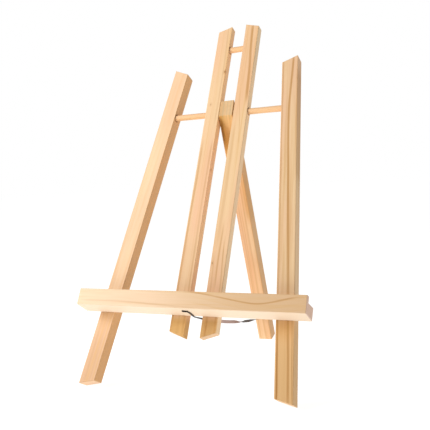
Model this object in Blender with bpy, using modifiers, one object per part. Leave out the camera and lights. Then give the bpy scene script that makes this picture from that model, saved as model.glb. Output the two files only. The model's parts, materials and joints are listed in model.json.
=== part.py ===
"""Small tabletop easel: two splayed front legs, a mast of two uprights, a tray and a folding rear leg.

Everything but the rear leg is laid out in the plane of the leaning frame, where x runs to the
right, y runs back through the thickness of the battens and z runs up the frame. The empty
"lean" tips that plane back, so that the two feet and the rear leg stand on one level floor.
The mast sits a degree off square on the cross dowel, and the rear leg folds into it.
"""
import math

import bmesh
import bpy
from mathutils import Vector

OBJECT_NAME = "tabletop_easel"
CUTTER_COLLECTION = "easel_cutters"

# ---------------------------------------------------------------- driving dimensions, in metres
GAP = 0.0003                            # between two pieces that touch
EASE = 0.0008                           # sanded edges of the battens
EASE_SEGMENTS = 3
EASE_ANGLE = math.radians(40)           # edges sharper than this are eased
SMOOTH_ANGLE = math.radians(35)
CUT_MARGIN = 0.01                       # how far a cutter runs past the wood
WELD = 0.00001
ROUND_SIDES = 32                        # sides of a dowel or a bore

LEG_WIDTH = 0.020
LEG_THICKNESS = 0.015
LEG_LENGTH = 0.419                      # along its outer edge
LEG_SPLAY = math.radians(5.8)
FOOT_X = 0.1273                         # outer corner of a foot, from the middle
LEG_HEAD_CUT = 0.00575                  # how much shorter the inner edge is, at the head
LEG_FOOT_CUT = 0.00645                  # and at the foot

MAST_SLOT = 0.020                       # between the two uprights
MAST_TILT = math.radians(1.03)          # off square, head towards -x
UPRIGHT_WIDTH = 0.0185
UPRIGHT_THICKNESS = 0.010
UPRIGHT_FOOT = 0.0597                   # heights up the frame
UPRIGHT_HEAD = 0.477
UPRIGHT_HEAD_CUT = 0.00525
UPRIGHT_FOOT_CUT = 0.006

DOWEL_RADIUS = 0.0038
PIVOT_HEIGHT = 0.345                    # cross dowel, up the frame
PIVOT_DEPTH = 0.005                     # behind the front faces
CROSS_DOWEL_LENGTH = 0.172
TOP_DOWEL_HEIGHT = 0.4423
TOP_DOWEL_LENGTH = 0.0500

TRAY_LENGTH = 0.2757
TRAY_FOOT = 0.0853                      # its front lower edge, up the frame
TRAY_BEVEL = 0.0018                     # how much lower its underside is at the back
TRAY_HEIGHT = 0.01935
TRAY_DEPTH = 0.0233                     # from the front faces of the battens to the tray's face
LIP_HEIGHT = 0.00675                    # above the shelf
LIP_THICKNESS = 0.0058

REAR_WIDTH = 0.0185
REAR_THICKNESS = 0.0155
REAR_LENGTH = 0.3154                    # from the pivot to the square foot
REAR_SHIFT = -0.0004                    # it runs nearer the left upright
OPEN_ANGLE = math.radians(44.17)        # between the rear leg and the mast

BRAD_RADIUS = 0.0006
BRAD_HEAD_RADIUS = 0.0012
BRAD_HEAD_THICKNESS = 0.0006
BRAD_LENGTH = 0.025
BRAD_SIDES = 16
BRAD_HEIGHT = TRAY_FOOT + 0.0060

TAPE_X = 0.0014                         # at the front faces of the battens
TAPE_YAW = math.radians(0.45)           # it runs slightly towards +x on its way back
TAPE_LIFT = 0.0004                      # off the wood it lies on
TAPE_WIDTH = 0.004
TAPE_THICKNESS = 0.0006
TAPE_ON_TRAY = 0.0195                   # how far forward under the tray the tape starts
TAPE_DOWN_LEG = 0.283                   # where it meets the rear leg, from the pivot
TAPE_SAG = 0.005
TAPE_TAIL = 0.009                       # length stapled flat to the leg
TAPE_STEPS = 16

STAPLE_SPAN = 0.0064
STAPLE_WIRE = 0.0006
STAPLE_DEPTH = 0.0045                   # of its prongs below the crown

PINE = (0.80, 0.60, 0.36)
PINE_WARM = (0.82, 0.58, 0.32)
DOWEL_WOOD = (0.78, 0.55, 0.34)
STEEL = (0.45, 0.44, 0.42)
RIBBON = (0.10, 0.08, 0.075)
SAWN_ROUGHNESS = 0.55
SANDED_ROUGHNESS = 0.5
STEEL_ROUGHNESS = 0.35
RIBBON_ROUGHNESS = 0.6


# ---------------------------------------------------------------- scene and object helpers
def clear_scene():
    for item in list(bpy.data.objects):
        bpy.data.objects.remove(item, do_unlink=True)


def new_collection(name):
    collection = bpy.data.collections.new(name)
    bpy.context.scene.collection.children.link(collection)
    return collection


def new_empty(name, parent=None, location=(0, 0, 0), rotation=(0, 0, 0)):
    empty = bpy.data.objects.new(name, None)
    empty.empty_display_size = 0.02
    parts.objects.link(empty)
    place(empty, parent, location, rotation)
    return empty


def place(item, parent, location=(0, 0, 0), rotation=(0, 0, 0)):
    item.parent = parent
    item.location = location
    item.rotation_euler = rotation


def material(name, colour, roughness, metallic=0.0):
    surface = bpy.data.materials.new(name)
    surface.use_nodes = True
    shader = surface.node_tree.nodes["Principled BSDF"]
    shader.inputs["Base Color"].default_value = (*colour, 1.0)
    shader.inputs["Roughness"].default_value = roughness
    shader.inputs["Metallic"].default_value = metallic
    return surface


def finish_mesh(bm, name, collection):
    """Turn a bmesh into an object, with flat faces flat and round ones smooth."""
    bmesh.ops.recalc_face_normals(bm, faces=bm.faces[:])
    mesh = bpy.data.meshes.new(name)
    bm.to_mesh(mesh)
    bm.free()
    mesh.shade_smooth()
    mesh.set_sharp_from_angle(angle=SMOOTH_ANGLE)
    item = bpy.data.objects.new(name, mesh)
    collection.objects.link(item)
    return item


def ease_edges(item, width=EASE):
    bevel = item.modifiers.new("Eased edges", "BEVEL")
    bevel.width = width
    bevel.segments = EASE_SEGMENTS
    bevel.limit_method = "ANGLE"
    bevel.angle_limit = EASE_ANGLE
    bevel.harden_normals = False


def bore(item, *tools):
    """Cut each tool out of an object."""
    for tool in tools:
        cut = item.modifiers.new("Cut " + tool.name, "BOOLEAN")
        cut.operation = "DIFFERENCE"
        cut.solver = "EXACT"
        cut.object = tool


def hide_tool(tool):
    tool.hide_render = True
    tool.display_type = "WIRE"


def add_box(bm, low, high):
    """A box between two corners."""
    low, high = Vector(low), Vector(high)
    made = bmesh.ops.create_cube(bm, size=1.0)
    bmesh.ops.scale(bm, vec=high - low, verts=made["verts"])
    bmesh.ops.translate(bm, vec=(low + high) / 2, verts=made["verts"])


def saw(bm, point, outward):
    """Cut off everything beyond a plane and close the cut."""
    geometry = bm.verts[:] + bm.edges[:] + bm.faces[:]
    cut = bmesh.ops.bisect_plane(
        bm, geom=geometry, plane_co=point, plane_no=outward, clear_outer=True)
    rim = [part for part in cut["geom_cut"] if isinstance(part, bmesh.types.BMEdge)]
    bmesh.ops.contextual_create(bm, geom=rim)


def cylinder_along_x(name, radius, length, collection, sides=ROUND_SIDES):
    bpy.ops.mesh.primitive_cylinder_add(vertices=sides, radius=radius, depth=length)
    item = bpy.context.object
    item.name = name
    item.data.name = name
    bpy.context.collection.objects.unlink(item)
    collection.objects.link(item)
    item.data.shade_smooth()
    item.data.set_sharp_from_angle(angle=SMOOTH_ANGLE)
    item.rotation_euler = (0, math.radians(90), 0)
    return item


# ---------------------------------------------------------------- places in the leaning frame
def mast_to_frame(x, y, z):
    """A point of the mast, measured from the pivot, in the frame's own coordinates."""
    along = math.cos(MAST_TILT) * x - math.sin(MAST_TILT) * z
    up = math.sin(MAST_TILT) * x + math.cos(MAST_TILT) * z
    return Vector((along, PIVOT_DEPTH + y, PIVOT_HEIGHT + up))


def rear_leg_to_mast(x, back, down):
    """A point of the open rear leg: back from its middle, and down from the pivot."""
    sine, cosine = math.sin(OPEN_ANGLE), math.cos(OPEN_ANGLE)
    return x, down * sine + back * cosine, back * sine - down * cosine


def lean_angle():
    """The lean that puts the rear corner of each foot and the front corner of the rear leg's
    foot at one height."""
    rear_corner = rear_leg_to_mast(REAR_SHIFT - REAR_WIDTH / 2, -REAR_THICKNESS / 2, REAR_LENGTH)
    rear_foot = mast_to_frame(*rear_corner)
    return math.atan2(rear_foot.z, rear_foot.y - LEG_THICKNESS)


def leg_centre_x(height):
    """The middle of a splayed leg's front face at a height up the frame."""
    middle_of_foot = FOOT_X - LEG_WIDTH / 2 / math.cos(LEG_SPLAY)
    return middle_of_foot - height * math.tan(LEG_SPLAY)


# ---------------------------------------------------------------- battens
def outer_leg(name, side):
    """A splayed front leg, with its outer edge on the empty's z axis and mitred ends."""
    bm = bmesh.new()
    inner = -side * LEG_WIDTH
    add_box(bm, (min(0, inner), 0, -LEG_FOOT_CUT), (max(0, inner), LEG_THICKNESS, LEG_LENGTH))
    saw(bm, (0, 0, 0), (-side * LEG_FOOT_CUT, 0, -LEG_WIDTH))
    saw(bm, (0, 0, LEG_LENGTH), (-side * LEG_HEAD_CUT, 0, LEG_WIDTH))
    leg = finish_mesh(bm, name, parts)
    place(leg, lean, (side * FOOT_X, 0, 0), (0, -side * LEG_SPLAY, 0))
    ease_edges(leg)
    return leg


def upright(name, side):
    """One batten of the mast, longer on the side of the slot."""
    inner = side * MAST_SLOT / 2
    outer = side * (MAST_SLOT / 2 + UPRIGHT_WIDTH)
    foot = UPRIGHT_FOOT - PIVOT_HEIGHT
    head = UPRIGHT_HEAD - PIVOT_HEIGHT
    bm = bmesh.new()
    add_box(bm, (min(inner, outer), -PIVOT_DEPTH, foot),
            (max(inner, outer), UPRIGHT_THICKNESS - PIVOT_DEPTH, head))
    saw(bm, (inner, 0, foot), (side * UPRIGHT_FOOT_CUT, 0, -UPRIGHT_WIDTH))
    saw(bm, (inner, 0, head), (side * UPRIGHT_HEAD_CUT, 0, UPRIGHT_WIDTH))
    item = finish_mesh(bm, name, parts)
    place(item, mast)
    ease_edges(item)
    return item


def rear_leg():
    """The folding leg, pivoted on the cross dowel. Its head is sawn off at the opening angle,
    so that the cut lies in the mast's front plane when the leg is open."""
    half = REAR_WIDTH / 2
    head = REAR_THICKNESS * 2
    to_mast_front = Vector((0, -math.cos(OPEN_ANGLE), math.sin(OPEN_ANGLE)))
    bm = bmesh.new()
    add_box(bm, (REAR_SHIFT - half, -REAR_THICKNESS / 2, -REAR_LENGTH),
            (REAR_SHIFT + half, REAR_THICKNESS / 2, head))
    saw(bm, to_mast_front * PIVOT_DEPTH, to_mast_front)
    leg = finish_mesh(bm, "rear_leg", parts)
    place(leg, leg_hinge)
    ease_edges(leg)
    return leg


def under_tray(depth):
    """The height of the tray's bevelled underside at a depth behind the battens' front faces."""
    return TRAY_FOOT - TRAY_BEVEL * (1 + depth / TRAY_DEPTH)


def tray():
    """The shelf and its standing lip, milled from one batten with a bevelled underside."""
    half = TRAY_LENGTH / 2
    shelf_top = TRAY_FOOT + TRAY_HEIGHT - LIP_HEIGHT
    bm = bmesh.new()
    add_box(bm, (-half, -TRAY_DEPTH, TRAY_FOOT), (half, -GAP, TRAY_FOOT + TRAY_HEIGHT))
    for vert in bm.verts:
        if vert.co.z < TRAY_FOOT + GAP and vert.co.y > -TRAY_DEPTH / 2:
            vert.co.z = under_tray(-GAP)
    item = finish_mesh(bm, "tray", parts)
    bm = bmesh.new()
    add_box(bm, (-half - CUT_MARGIN, -TRAY_DEPTH + LIP_THICKNESS, shelf_top),
            (half + CUT_MARGIN, CUT_MARGIN, TRAY_FOOT + 2 * TRAY_HEIGHT))
    rebate = finish_mesh(bm, "tray_rebate", cutters)
    hide_tool(rebate)
    place(item, lean)
    place(rebate, lean)
    bore(item, rebate)
    ease_edges(item)
    return item


# ---------------------------------------------------------------- dowels
def dowel(name, length, parent, location):
    item = cylinder_along_x(name, DOWEL_RADIUS, length, parts)
    item.parent = parent
    item.location = location
    ease_edges(item, EASE / 2)
    return item


def dowel_bore(name, length, parent, location):
    """The hole for one dowel, which stops inside the outer two of the battens on it."""
    tool = cylinder_along_x(name, DOWEL_RADIUS + GAP, length + 2 * GAP, cutters)
    tool.parent = parent
    tool.location = location
    hide_tool(tool)
    return tool


# ---------------------------------------------------------------- brads and staples
def turned_brad(clearance):
    """One brad turned about z: its shank points up and its head hangs below the origin."""
    shank = BRAD_RADIUS + clearance
    head = BRAD_HEAD_RADIUS + clearance
    below = BRAD_HEAD_THICKNESS + 3 * clearance
    profile = [(0, -below), (head, -below), (head, 0), (shank, 0),
               (shank, BRAD_LENGTH + clearance), (0, BRAD_LENGTH + clearance)]
    bm = bmesh.new()
    verts = [bm.verts.new((radius, 0, height)) for radius, height in profile]
    edges = [bm.edges.new(pair) for pair in zip(verts, verts[1:])]
    bmesh.ops.spin(bm, geom=verts + edges, axis=(0, 0, 1), cent=(0, 0, 0),
                   angle=math.tau, steps=BRAD_SIDES, use_merge=True)
    bmesh.ops.remove_doubles(bm, verts=bm.verts[:], dist=WELD)
    return bm


def brad(name, batten_x, batten_back, clearance, collection):
    """A brad driven forward through a batten into the tray, its head just under the surface."""
    item = finish_mesh(turned_brad(clearance), name, collection)
    head_y = batten_back - GAP - BRAD_HEAD_THICKNESS
    place(item, lean, (batten_x, head_y, BRAD_HEIGHT), (math.radians(90), 0, 0))
    return item


def flat_outline(name, points, width, collection):
    """A closed outline in its own x and y, as thick as width along z."""
    curve = bpy.data.curves.new(name, "CURVE")
    curve.dimensions = "2D"
    curve.fill_mode = "BOTH"
    curve.extrude = width / 2
    spline = curve.splines.new("POLY")
    spline.points.add(len(points) - 1)
    for point, (across, up) in zip(spline.points, points):
        point.co = (across, up, 0, 1)
    spline.use_cyclic_u = True
    drawn = bpy.data.objects.new(name + "_outline", curve)
    collection.objects.link(drawn)
    bpy.context.view_layer.update()
    graph = bpy.context.evaluated_depsgraph_get()
    mesh = bpy.data.meshes.new_from_object(drawn.evaluated_get(graph))
    bpy.data.objects.remove(drawn, do_unlink=True)
    bm = bmesh.new()
    bm.from_mesh(mesh)
    bpy.data.meshes.remove(mesh)
    bmesh.ops.remove_doubles(bm, verts=bm.verts[:], dist=WELD)
    return finish_mesh(bm, name, collection)


def staple(name, parent, location, rotation):
    """A bent wire: its crown lies across the tape, and its prongs point along -y."""
    half = STAPLE_SPAN / 2
    crown = STAPLE_WIRE
    wire = STAPLE_WIRE
    outline = [
        (-half, -STAPLE_DEPTH), (-half, crown - wire / 2), (-half + wire / 2, crown),
        (half - wire / 2, crown), (half, crown - wire / 2), (half, -STAPLE_DEPTH),
        (half - wire, -STAPLE_DEPTH), (half - wire, 0), (-half + wire, 0),
        (-half + wire, -STAPLE_DEPTH)]
    item = flat_outline(name, outline, 2 * wire, parts)
    place(item, parent, location, rotation)
    return item


def staple_slots(name, parent, location, rotation):
    """Room in the wood for the two prongs of a staple."""
    half = STAPLE_SPAN / 2
    bm = bmesh.new()
    for side in (-1, 1):
        outer = side * (half + GAP)
        inner = side * (half - STAPLE_WIRE - GAP)
        add_box(bm, (min(inner, outer), -STAPLE_DEPTH - GAP, -STAPLE_WIRE - GAP),
                (max(inner, outer), STAPLE_WIRE, STAPLE_WIRE + GAP))
    tool = finish_mesh(bm, name, cutters)
    place(tool, parent, location, rotation)
    hide_tool(tool)
    return tool


# ---------------------------------------------------------------- stay tape
def tape_route():
    """The tape's middle line in the frame's y and z: along the tray's underside, across to the
    rear leg with a slight sag, and up the leg's front face."""
    lift = TAPE_LIFT + TAPE_THICKNESS / 2
    on_leg = -REAR_THICKNESS / 2 - lift
    start = Vector((0, under_tray(0) - lift))
    _, meet_y, meet_z = rear_leg_to_mast(0, on_leg, TAPE_DOWN_LEG)
    meet = Vector((meet_y + PIVOT_DEPTH, meet_z + PIVOT_HEIGHT))
    _, tail_y, tail_z = rear_leg_to_mast(0, on_leg, TAPE_DOWN_LEG - TAPE_TAIL)
    tail = Vector((tail_y + PIVOT_DEPTH, tail_z + PIVOT_HEIGHT))
    route = [Vector((-depth, under_tray(-depth) - lift)) for depth in (TAPE_ON_TRAY, TAPE_ON_TRAY / 2)]
    for step in range(TAPE_STEPS + 1):
        share = step / TAPE_STEPS
        point = start.lerp(meet, share)
        point.y -= TAPE_SAG * 4 * share * (1 - share)
        route.append(point)
    route.append(tail)
    return route


def stay_tape():
    """A narrow tape, as a thin band along its route."""
    route = tape_route()
    upper = []
    lower = []
    for index, point in enumerate(route):
        before = route[max(index - 1, 0)]
        after = route[min(index + 1, len(route) - 1)]
        along = (after - before).normalized()
        across = Vector((-along.y, along.x)) * TAPE_THICKNESS / 2
        upper.append(point + across)
        lower.append(point - across)
    item = flat_outline("stay_tape", upper + lower[::-1], TAPE_WIDTH, parts)
    # the outline's plane stands along the frame's depth
    place(item, lean, (TAPE_X, 0, 0), (math.radians(90), 0, math.radians(90) - TAPE_YAW))
    return item


# ---------------------------------------------------------------- assembly
def stand_on_origin():
    """Move the whole easel so that the middle of its box's underside is the origin."""
    bpy.context.view_layer.update()
    graph = bpy.context.evaluated_depsgraph_get()
    corners = []
    for item in parts.objects:
        if item.type == "MESH":
            solid = item.evaluated_get(graph)
            corners += [solid.matrix_world @ vert.co for vert in solid.data.vertices]
    low = Vector([min(corner[axis] for corner in corners) for axis in range(3)])
    high = Vector([max(corner[axis] for corner in corners) for axis in range(3)])
    root.location -= Vector(((low.x + high.x) / 2, (low.y + high.y) / 2, low.z))


clear_scene()
parts = new_collection(OBJECT_NAME)
cutters = new_collection(CUTTER_COLLECTION)

root = new_empty("easel_origin")
lean = new_empty("lean", root, rotation=(-lean_angle(), 0, 0))
mast = new_empty("mast", lean, (0, PIVOT_DEPTH, PIVOT_HEIGHT), (0, -MAST_TILT, 0))
leg_hinge = new_empty("leg_hinge", mast, rotation=(OPEN_ANGLE, 0, 0))

pine = material("pine", PINE, SAWN_ROUGHNESS)
rear_pine = material("rear_pine", PINE_WARM, SAWN_ROUGHNESS)
tray_pine = material("tray_pine", PINE, SANDED_ROUGHNESS)
dowel_wood = material("dowel_wood", DOWEL_WOOD, SANDED_ROUGHNESS)
steel = material("steel", STEEL, STEEL_ROUGHNESS, 1.0)
ribbon = material("ribbon", RIBBON, RIBBON_ROUGHNESS)

pivot = (0, PIVOT_DEPTH, PIVOT_HEIGHT)
cross_bore = dowel_bore("cross_bore", CROSS_DOWEL_LENGTH, lean, pivot)
top_place = (0, 0, TOP_DOWEL_HEIGHT - PIVOT_HEIGHT)
top_bore = dowel_bore("top_bore", TOP_DOWEL_LENGTH, mast, top_place)

upright_middle = MAST_SLOT / 2 + UPRIGHT_WIDTH / 2
metal = []
brad_bores = {}
for side, label in ((-1, "left"), (1, "right")):
    upright_x = mast_to_frame(side * upright_middle, 0, BRAD_HEIGHT - PIVOT_HEIGHT).x
    for batten, x, back in (
            (label + "_leg", side * leg_centre_x(BRAD_HEIGHT), LEG_THICKNESS),
            (label + "_upright", upright_x, UPRIGHT_THICKNESS)):
        metal.append(brad(batten + "_brad", x, back, 0, parts))
        brad_bores[batten] = brad(batten + "_brad_bore", x, back, GAP, cutters)
        hide_tool(brad_bores[batten])

# each staple's prongs point into the wood: up into the tray, and back into the rear leg
crown_lift = TAPE_LIFT + TAPE_THICKNESS + GAP
front_staple_y = -TAPE_ON_TRAY + TAPE_TAIL / 3
front_staple_place = (
    TAPE_X + front_staple_y * math.tan(TAPE_YAW), front_staple_y,
    under_tray(front_staple_y) - crown_lift)
front_staple_turn = (math.radians(-90), 0, 0)
tape_end = tape_route()[-1]
tape_end_x = TAPE_X + tape_end.x * math.tan(TAPE_YAW)
rear_staple_x = tape_end_x + math.tan(MAST_TILT) * (tape_end.y - PIVOT_HEIGHT)
rear_staple_place = (
    rear_staple_x, -REAR_THICKNESS / 2 - crown_lift, -TAPE_DOWN_LEG + TAPE_TAIL * 2 / 3)
rear_staple_turn = (math.radians(180), 0, 0)
front_slots = staple_slots("front_staple_slots", lean, front_staple_place, front_staple_turn)
rear_slots = staple_slots("rear_staple_slots", leg_hinge, rear_staple_place, rear_staple_turn)

wood = []
for side, label in ((-1, "left"), (1, "right")):
    front_leg = outer_leg(label + "_leg", side)
    bore(front_leg, cross_bore, brad_bores[front_leg.name])
    batten = upright(label + "_upright", side)
    bore(batten, cross_bore, top_bore, brad_bores[batten.name])
    wood += [front_leg, batten]

shelf = tray()
bore(shelf, front_slots, *brad_bores.values())
folding_leg = rear_leg()
bore(folding_leg, cross_bore, rear_slots)
dowels = [
    dowel("cross_dowel", CROSS_DOWEL_LENGTH, lean, pivot),
    dowel("top_dowel", TOP_DOWEL_LENGTH, mast, top_place)]
metal += [
    staple("front_staple", lean, front_staple_place, front_staple_turn),
    staple("rear_staple", leg_hinge, rear_staple_place, rear_staple_turn)]

finishes = (
    (wood, pine), ([shelf], tray_pine), ([folding_leg], rear_pine), (dowels, dowel_wood),
    (metal, steel), ([stay_tape()], ribbon))
for items, surface in finishes:
    for item in items:
        item.data.materials.append(surface)

stand_on_origin()
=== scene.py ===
"""Looks of the wooden tabletop easel: bare sanded pine, dowels, a satin stay tape and its staples."""

import json
import math

import bmesh
import bpy
from mathutils import Matrix, Vector


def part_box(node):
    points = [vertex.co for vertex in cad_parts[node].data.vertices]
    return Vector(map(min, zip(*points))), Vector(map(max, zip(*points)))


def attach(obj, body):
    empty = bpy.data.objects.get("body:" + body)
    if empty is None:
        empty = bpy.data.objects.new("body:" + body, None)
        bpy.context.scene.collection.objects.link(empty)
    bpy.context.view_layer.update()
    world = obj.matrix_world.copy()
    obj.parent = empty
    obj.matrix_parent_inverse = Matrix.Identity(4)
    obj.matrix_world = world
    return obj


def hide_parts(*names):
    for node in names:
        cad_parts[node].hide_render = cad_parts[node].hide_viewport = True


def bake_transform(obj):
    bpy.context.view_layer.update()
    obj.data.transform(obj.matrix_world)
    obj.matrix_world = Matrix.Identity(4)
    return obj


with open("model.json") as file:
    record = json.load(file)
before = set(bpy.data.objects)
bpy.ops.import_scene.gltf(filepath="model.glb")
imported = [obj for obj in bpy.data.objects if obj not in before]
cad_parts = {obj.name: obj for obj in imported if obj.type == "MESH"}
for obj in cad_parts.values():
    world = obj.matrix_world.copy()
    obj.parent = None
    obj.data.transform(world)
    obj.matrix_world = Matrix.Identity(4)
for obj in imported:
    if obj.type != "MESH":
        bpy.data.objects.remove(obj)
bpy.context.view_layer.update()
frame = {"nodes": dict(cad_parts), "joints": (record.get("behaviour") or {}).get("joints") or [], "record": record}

# ---------------------------------------------------------------- the design's dimensions, in metres
LEG_WIDTH, LEG_THICKNESS = 0.020, 0.015
LEG_SPLAY = math.radians(5.8)
FOOT_X = 0.1273
UPRIGHT_WIDTH, UPRIGHT_THICKNESS = 0.0185, 0.010
MAST_SLOT = 0.020
REAR_WIDTH, REAR_THICKNESS = 0.0185, 0.0155
REAR_SHIFT = -0.0004
OPEN_ANGLE = math.radians(44.17)
PIVOT_HEIGHT, PIVOT_DEPTH = 0.345, 0.005
TRAY_FOOT, TRAY_HEIGHT, TRAY_DEPTH, TRAY_BEVEL = 0.0853, 0.01935, 0.0233, 0.0018

# dowels
DOWEL_RADIUS = 0.0038
TOP_DOWEL_HEIGHT = 0.4423
DOWEL_SIDES, DOWEL_STEPS, DOWEL_EASE = 48, 60, 0.0004
DOWEL_SHRINK = 0.00005                  # between its ends, a dowel is this much thinner
DOWEL_WAVES = (                         # (height, radians for each metre, share of the seed)
    (0.00004, 170, 1), (0.00003, 410, 2))
CROSS_BORE_REACH, TOP_BORE_REACH = 0.084, 0.020     # mouths with painted shade lie this near a dowel's middle

# stay tape
TAPE_DOWN_LEG, TAPE_TAIL = 0.283, 0.009
TAPE_SAG = 0.005
TAPE_LIFT = 0.0007                      # its middle, off the wood it lies on
TAPE_WIDTH, TAPE_THICKNESS = 0.004, 0.0003
GATHER_WIDTH, GATHER_THICKNESS = 0.0021, 0.0011
GATHER_DEPTHS = (0.020, 0.077)          # gathered before the first, spread out after the second
TAPE_HOOK = (                           # (x, depth) under the tray, from the tucked end
    (-0.0025, -0.0166), (-0.0009, -0.0166), (0.0007, -0.0166), (0.0022, -0.0164), (0.0034, -0.0156),
    (0.0042, -0.0144), (0.0045, -0.0128), (0.0046, -0.0112), (0.0046, -0.0096), (0.0045, -0.0080),
    (0.0044, -0.0064), (0.0044, -0.0048), (0.0044, -0.0032), (0.0043, -0.0016))
TAPE_RUN_X = (0.0042, 0.0030)           # at the tray and at the rear leg
TAPE_SIDES, TAPE_STEPS, TAPE_TAIL_STEPS, TAPE_ROUNDING = 16, 96, 8, 4
TAPE_TWIST = (                          # (depth behind the front faces, degrees turned)
    (-0.018, -180), (0.0, -180), (0.014, -150), (0.036, -60), (0.060, 45), (0.073, 84),
    (0.107, 98), (0.120, 140), (0.129, 190), (0.139, 236), (0.156, 245), (0.171, 210), (0.185, 180))

# staples
FRONT_STAPLE = (0.0008, -0.0166)        # (x, depth) under the tray
STAPLE_SPAN, STAPLE_PRONG = 0.0062, 0.0042
STAPLE_RADIUS, STAPLE_BEND = 0.00022, 0.0007
WIRE_SIDES, WIRE_BEND_STEPS = 12, 6

SHARP_ANGLE = math.radians(35)          # edges sharper than this aren't shaded smooth

# ---------------------------------------------------------------- camera and light
CAMERA_PLACE = (0.3392, -0.7226, 0.2416)
CAMERA_TURN = tuple(math.radians(angle) for angle in (85.816, 3.452, 25.311))
CAMERA_LENS = 55.55
SENSOR = 36.0
WHITE = (1, 1, 1, 1)
ROOM_LIGHT = 0.34
FLOOR_GREY = (0.4, 0.4, 0.4, 1)
FLOOR_GLOW = 0.86
FLOOR_SIZE = 6
LAMP_PLACE, LAMP_AIM = (-0.85, -0.55, 0.72), (0, 0, 0.2)
LAMP_SIZE, LAMP_POWER = 0.55, 11.0


# ---------------------------------------------------------------- frames of the battens
def frame_places():
    """The leaning frame, the mast and the open rear leg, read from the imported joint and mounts."""
    joint = frame["joints"][0]
    shelf_normal = frame["record"]["mounts"][0]["axis"]
    lean_angle = math.atan2(shelf_normal[1], shelf_normal[2])
    axis = joint["axis"]
    tilt = math.asin(math.hypot(axis[1], axis[2]))
    pivot = Vector(joint["pos_m"])
    turn = Matrix.Rotation(-lean_angle, 4, "X")
    lean = Matrix.Translation(pivot) @ turn @ Matrix.Translation((0, -PIVOT_DEPTH, -PIVOT_HEIGHT))
    mast = Matrix.Translation(pivot) @ turn @ Matrix.Rotation(-tilt, 4, "Y")
    leg = mast @ Matrix.Rotation(OPEN_ANGLE, 4, "X")
    return lean, mast, leg


LEAN, MAST, REAR_LEG = frame_places()
CROSS_AXIS = LEAN @ Matrix.Translation((0, PIVOT_DEPTH, PIVOT_HEIGHT))
TOP_AXIS = MAST @ Matrix.Translation((0, 0, TOP_DOWEL_HEIGHT - PIVOT_HEIGHT))


def leg_place(side):
    """The middle of a front leg's section at the foot, z along the leg."""
    foot = Matrix.Translation((side * FOOT_X, 0, 0)) @ Matrix.Rotation(-side * LEG_SPLAY, 4, "Y")
    return LEAN @ foot @ Matrix.Translation((-side * LEG_WIDTH / 2, LEG_THICKNESS / 2, 0))


def upright_place(side):
    """The middle of an upright's section, z along it and measured from the mast's foot."""
    middle = MAST_SLOT / 2 + UPRIGHT_WIDTH / 2
    return MAST @ Matrix.Translation((side * middle, UPRIGHT_THICKNESS / 2 - PIVOT_DEPTH, -PIVOT_HEIGHT))


def across_place(middle):
    """A frame with z along +x of the easel, for what lies across it."""
    turn = Matrix(((0, 0, 1, 0), (0, 1, 0, 0), (-1, 0, 0, 0), (0, 0, 0, 1)))
    return middle @ turn


# ---------------------------------------------------------------- shader graph helpers
MIX_FIRST, MIX_SECOND, MIX_RESULT = 6, 7, 2     # a Mix node's colour sockets
LINE_RANGE = 0.04                               # the width that a curve's grey levels stand for


def linear(red, green, blue):
    """A linear colour from 0 to 255 display values."""
    def one(value):
        value /= 255
        return value / 12.92 if value <= 0.04045 else ((value + 0.055) / 1.055) ** 2.4
    return (one(red), one(green), one(blue), 1.0)


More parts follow.
